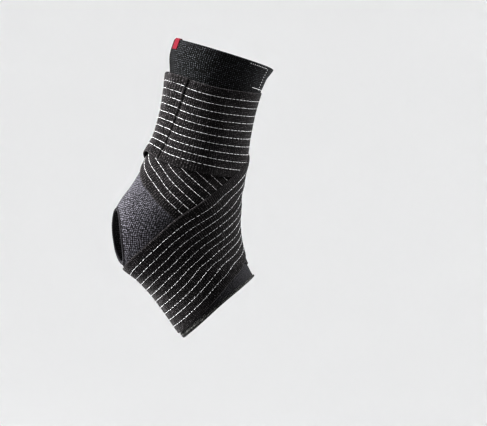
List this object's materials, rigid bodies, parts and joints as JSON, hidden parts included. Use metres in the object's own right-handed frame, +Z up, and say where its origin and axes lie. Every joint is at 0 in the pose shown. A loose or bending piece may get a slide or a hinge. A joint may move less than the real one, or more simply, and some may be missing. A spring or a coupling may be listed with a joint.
{
  "type": "ankle brace",
  "caption": "Slip-on knitted ankle brace for a right foot with an open heel, a plain top cuff and striped elastic straps wound round it in a figure of eight.",
  "frame": {"origin": "centre of the ankle joint inside the sleeve, on the lower leg's axis", "axes": "+Z up the lower leg, +X to the toes, -Y the outer side of a right foot"},
  "size_m": [0.1363, 0.0893, 0.2533],
  "materials": {
    "mesh_knit": "mesh knit of dark grey and pale yarn",
    "rib_knit": "fine vertical rib knit, matt",
    "hem_knit": "double knit edge, matt",
    "overlock_yarn": "overlocked yarn",
    "striped_elastic": "ribbed woven elastic with thin white stripes",
    "hook_tape": "hook tape",
    "red_woven_tape": "woven tape"
  },
  "bodies": {
    "root": {"knit_sleeve": "mesh_knit", "top_cuff": "rib_knit", "foot_hem": "hem_knit", "heel_binding": "overlock_yarn", "inner_strap": "striped_elastic", "inner_hook_tab": "hook_tape", "outer_strap": "striped_elastic", "outer_hook_tab": "hook_tape", "red_tag": "red_woven_tape"}
  },
  "joints": []
}
